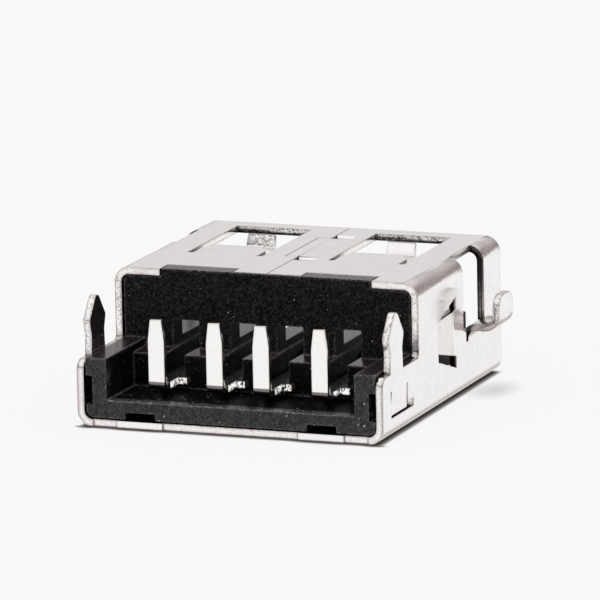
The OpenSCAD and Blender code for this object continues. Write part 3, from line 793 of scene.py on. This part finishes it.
# %% [markdown]
# ### Its colour and shine
# The gaps between the crumbs and the far end of each shoulder's sides are painted dark as shade.
# The crumbs themselves shine, because the faces of the shoulders lean up towards the light.

# %% Contact-strip colour and shine
SOFT_PLATING = (0.95, 0.94, 0.92)
CLEAR_PLATING = (0.99, 0.985, 0.975)
COPPER_EDGE = (0.66, 0.55, 0.44)
TARNISH = (0.4, 0.35, 0.3)
FOOT_SHADE_TONE = (0.13, 0.105, 0.11)
CRUMB_GAP_SHADE = (0.015, 0.013, 0.012)
SMOOTH_STRIP, ROUGH_STRIP = 0.1, 0.26
LEAN_OF_SIDES = (0.0, -0.9, 0.9)
LEAN_OF_REAR = (0.0, -0.3, 1.1)

lines = place_group(tree, rolling, Lines_per_metre=14000.0, Stretch=0.4)["Value"]
stains = place_group(tree, speckle, Grains_per_metre=2200.0, Contrast=1.4)["Value"]
worn = place_group(tree, edge_band, Reach=0.1 * MM)["Mask"]
spots = place_group(tree, dust, Specks_per_metre=2600.0, Cover=0.16, Size=0.2)["Mask"]
colour = paint(
    tree, mix_colour(tree, stains, SOFT_PLATING, CLEAR_PLATING),
    (worn, 0.6, COPPER_EDGE),
    (spots, 0.5, TARNISH),
    # Painted shade at the foot of each tail.
    (shaded_foot, 0.9, FOOT_SHADE_TONE),
    # Painted shade between the crumbs and at the shoulders' far ends.
    (largest(tree, crumb_gap_shade, shaded_far_end), FULL, CRUMB_GAP_SHADE),
)
tree.links.new(colour, shader["Base Color"])
shader["Metallic"].default_value = 1.0
tree.links.new(mix_value(tree, lines, SMOOTH_STRIP, ROUGH_STRIP), shader["Roughness"])
plain = add_node(tree, "ShaderNodeNewGeometry").outputs["Normal"]
leaned = lean(tree, plain, LEAN_OF_SIDES, product(tree, sideways, pressed))
leaned = lean(tree, leaned, LEAN_OF_REAR, product(tree, rearward, pressed))
bump(tree, shader, (lines, 0.0008 * MM), (stains, 0.0015 * MM), start=leaned)
print("made material", strip.name)

# %% [markdown]
# ## Dressing
# Each solid gets its finish. The shell has two: plated sheet all over, and the sheared edge on
# the faces that were sorted out as cut. Only the faces' material numbers change.

# %% Dress the solids
CUT = 1
FINISHES = {"shield_shell": [plated, sheared], "insulator_housing": [moulded]}

for name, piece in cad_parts.items():
    piece.data.materials.clear()
    for material in FINISHES.get(name, [strip]):
        piece.data.materials.append(material)
for index in cut_faces:
    shell.data.polygons[index].material_index = CUT
print("dressed:", ", ".join(sorted(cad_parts)))

# %% [markdown]
# ## Floor
# The socket stands on white paper. The paper is a plain matte plane that is far larger than the
# view, so that the same white also shows in the shell's walls. It lies a hair below the socket,
# because two faces in one plane would flicker.

# %% Lay the floor
FLOOR_SIZE = 2.0
FLOOR_DROP = 0.01 * MM

bpy.ops.mesh.primitive_plane_add(size=FLOOR_SIZE, location=(0, 0, -FLOOR_DROP))
floor = bpy.context.object
floor.name = "paper_floor"
print("floor of", FLOOR_SIZE, "m laid")

# %% [markdown]
# ## Shadow on the paper
# In a light tent the only clear shadow is the thin dark line where a thing touches the paper.
# Ambient occlusion finds that line; past the rear edge it reaches farther. Under each board ear
# the paper is a little darker too, in a soft oval spot. Only the camera sees this shade, so that
# reflections keep the plain paper.

# %% Shade of the paper
REAR_REACH, REAR_DARKNESS = 0.42 * MM, 7.0
SIDE_REACH, SIDE_DARKNESS = 0.28 * MM, 2.6
EAR_ACROSS, EAR_ALONG = 7.35 * MM, 3.7 * MM
EAR_SPOT = (1.4 * MM, 0.0)
EAR_SPOT_SQUEEZE = 0.6
EAR_SPOT_LEVEL = 0.72

paper, tree, shader = new_material("white_paper")
place = find_place(tree)


def contact_shadow(reach, darkness):
    node = add_node(tree, "ShaderNodeAmbientOcclusion", {"Distance": reach}, samples=16)
    return math_node(tree, "POWER", node.outputs["AO"], darkness)


shade = mix_value(
    tree, region(tree, place, along=[(-6.9, -7.0)]),
    contact_shadow(SIDE_REACH, SIDE_DARKNESS), contact_shadow(REAR_REACH, REAR_DARKNESS),
)
across = math_node(tree, "SUBTRACT", place["across"], EAR_ACROSS)
along = math_node(tree, "SUBTRACT", place["along"], EAR_ALONG)
along = product(tree, along, EAR_SPOT_SQUEEZE)
squares = math_node(tree, "ADD", product(tree, across, across), product(tree, along, along))
ear_spot = spread(tree, math_node(tree, "SQRT", squares), *EAR_SPOT)
shade = product(tree, shade, mix_value(tree, ear_spot, 1.0, EAR_SPOT_LEVEL))
ray = add_node(tree, "ShaderNodeLightPath").outputs
shade = largest(tree, shade, math_node(tree, "SUBTRACT", 1.0, ray["Is Camera Ray"]))
print("shade for", paper.name)

# %% [markdown]
# ## White paper
# The paper has to look evenly white. More light could do that, but it would bleach the socket.
# So the camera and mirror-like metal see mostly a white of the paper's own, and only the rest
# follows the light. Seen from below it is clear, so that the socket's underside shows.

# %% White-paper material
PAPER_WHITE = 0.945
OWN_WHITE_SHARE = 0.9
GREY_GRAIN = (0.93, 0.93, 0.928)
PALE_GRAIN = (0.95, 0.95, 0.948)
DARKEST_SHADOW = (0.03, 0.019, 0.017)
BLACK = (0.0, 0.0, 0.0)
WHITE = (1.0, 1.0, 1.0)

grain = place_group(tree, speckle, Grains_per_metre=700.0, Contrast=1.0)["Value"]
colour = mix_colour(tree, shade, BLACK, mix_colour(tree, grain, GREY_GRAIN, PALE_GRAIN))
tree.links.new(colour, shader["Base Color"])
shader["Roughness"].default_value = 0.9
shader["Specular IOR Level"].default_value = 0.0
matte = tree.nodes["Principled BSDF"]
light = mix_colour(tree, shade, DARKEST_SHADOW, WHITE)
glow = add_node(tree, "ShaderNodeEmission", {"Color": light, "Strength": PAPER_WHITE})
seen = product(tree, largest(tree, ray["Is Camera Ray"], ray["Is Glossy Ray"]), OWN_WHITE_SHARE)
lifted = add_node(
    tree, "ShaderNodeMixShader", {0: seen, 1: matte.outputs[0], 2: glow.outputs[0]},
)
behind = add_node(tree, "ShaderNodeNewGeometry").outputs["Backfacing"]
clear = add_node(tree, "ShaderNodeBsdfTransparent")
one_sided = add_node(
    tree, "ShaderNodeMixShader", {0: behind, 1: lifted.outputs[0], 2: clear.outputs[0]},
)
tree.links.new(one_sided.outputs[0], tree.nodes["Material Output"].inputs["Surface"])
floor.data.materials.append(paper)
print("made material", paper.name)

# %% [markdown]
# ## Studio light
# The picture was taken in a light tent: pale cloth all round, a bright panel overhead, a darker
# gap between the panel and the walls, and a dim strip low on the far side. Lamps could light the
# socket too, but bright metal shows its surroundings, so the tent's own levels draw the grey of
# the upper face and the lines along the bends. Each wall is a list of heights in degrees and
# levels; the far cloth is a little warm.

# %% Tent walls
FAR_WALL = [
    (0, 0.5), (4, 0.5), (8, 0.68), (12, 0.79), (16, 0.745), (21, 0.62), (30, 0.5), (40, 0.8),
    (50, 1.3), (90, 1.45),
]
NEAR_WALL = [(0, 0.95), (14, 0.9), (24, 0.5), (34, 0.4), (44, 0.9), (52, 1.3), (90, 1.45)]
FAR_TINT = (1.01, 0.975, 0.975)
NEAR_TO_FAR = (-0.35, 0.35)
STRENGTH_UNIT = 1.5
NEW_STOP = 0.5

world = bpy.data.worlds.new("light_tent")
bpy.context.scene.world = world
world.use_nodes = True
tree = world.node_tree
direction = by_axis(tree, "Generated")


def tent_wall(stops, tint):
    node = add_node(tree, "ShaderNodeValToRGB", {"Fac": direction["Z"]})
    points = node.color_ramp.elements
    while len(points) < len(stops):
        points.new(NEW_STOP)
    for point, (degrees, level) in zip(points, stops):
        point.position = math.sin(math.radians(degrees))
        point.color = (*(level / STRENGTH_UNIT * share for share in tint), 1)
    return node.outputs["Color"]


towards_far = spread(tree, direction["Y"], *NEAR_TO_FAR)
tent = mix_colour(tree, towards_far, tent_wall(NEAR_WALL, WHITE), tent_wall(FAR_WALL, FAR_TINT))
print("tent walls with", len(NEAR_WALL), "and", len(FAR_WALL), "levels")

# %% [markdown]
# ## What the camera and the metal see
# The panel overhead is brighter than white, which would burn out in the metal from some sides.
# Mirror-like rays therefore see it as plain white, and the camera sees the paper's white past
# the floor's edge. The light that falls on the socket stays as it is.

# %% Light the scene
GLARE_LIMIT = 1.0

ray = add_node(tree, "ShaderNodeLightPath").outputs
tent = mix_colour(tree, ray["Is Glossy Ray"], tent, [GLARE_LIMIT / STRENGTH_UNIT] * 3, "DARKEN")
tent = mix_colour(tree, ray["Is Camera Ray"], tent, [PAPER_WHITE / STRENGTH_UNIT] * 3)
background = tree.nodes["Background"]
tree.links.new(tent, background.inputs["Color"])
background.inputs["Strength"].default_value = STRENGTH_UNIT
bpy.context.scene.view_settings.view_transform = "Standard"
print("lit by", world.name)
